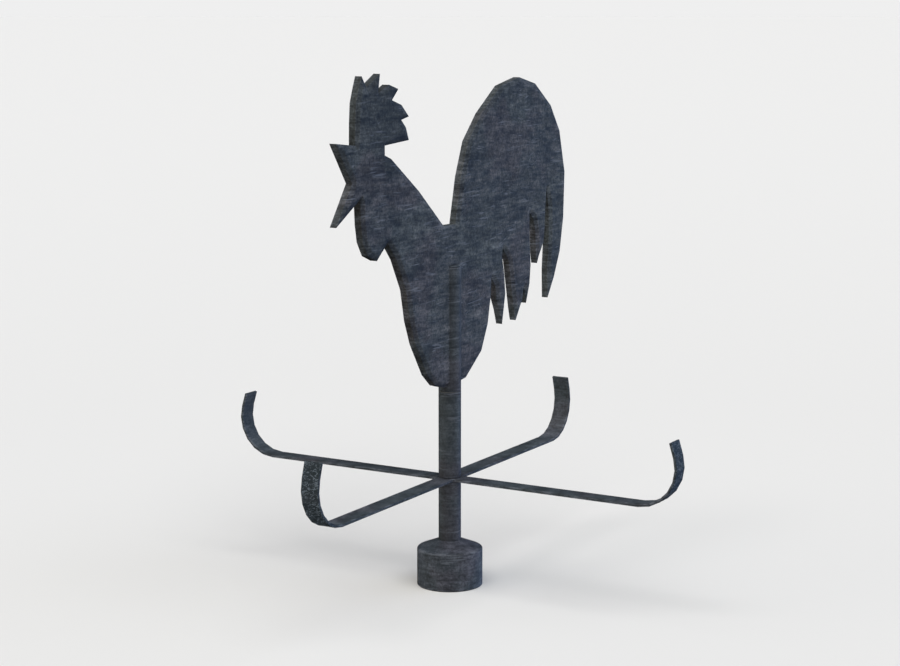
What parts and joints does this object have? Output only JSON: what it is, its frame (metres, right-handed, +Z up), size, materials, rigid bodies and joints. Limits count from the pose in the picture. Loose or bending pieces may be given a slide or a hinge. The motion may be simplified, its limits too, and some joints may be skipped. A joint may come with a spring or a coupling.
{
  "type": "weather vane",
  "caption": "Weather vane: a flat cast rooster with an open beak and feathered tail turns on a post over hooked direction arms and a round foot.",
  "frame": {"origin": "centre of the foot's underside, on the axis of the post", "axes": "+Z up the post; the rooster stands in the XZ plane with its beak towards -X and its tail towards +X; the arms run along X and Y; the face seen in the picture looks towards -Y"},
  "size_m": [0.555, 0.555, 0.571],
  "materials": {
    "cast_plate": "dark blue-grey patina over a brushed and scratched casting, satin",
    "dark_steel": "blackened, brushed and lightly hammered, satin",
    "bright_steel": "turned, bright",
    "bronze": "turned bearing bronze",
    "nylon": "plain, matt"
  },
  "bodies": {
    "stand": {"base_foot": "dark_steel", "foot_washer": "bright_steel", "foot_nut": "bright_steel", "lower_post": "dark_steel", "lower_post_plug": "bright_steel", "cross_arm_x": "dark_steel", "cross_arm_y": "dark_steel", "upper_post_plug": "bright_steel", "upper_post": "dark_steel", "bearing_plug": "dark_steel", "clamp_washer": "bright_steel", "clamp_nut": "bright_steel", "spindle": "bright_steel"},
    "rooster": {"dust_washer": "nylon", "rotor_tube": "dark_steel", "lower_bush": "bronze", "upper_bush": "bronze", "retaining_screw": "bright_steel", "thrust_ball": "bright_steel", "thrust_pad": "bright_steel", "rotor_cap": "dark_steel", "rooster_plate": "cast_plate"}
  },
  "joints": [
    {"name": "rooster_turn", "type": "hinge", "parent": "stand", "child": "rooster", "pos_m": [0, 0, 0.334], "axis": [0, 0, 1], "continuous": true}
  ]
}
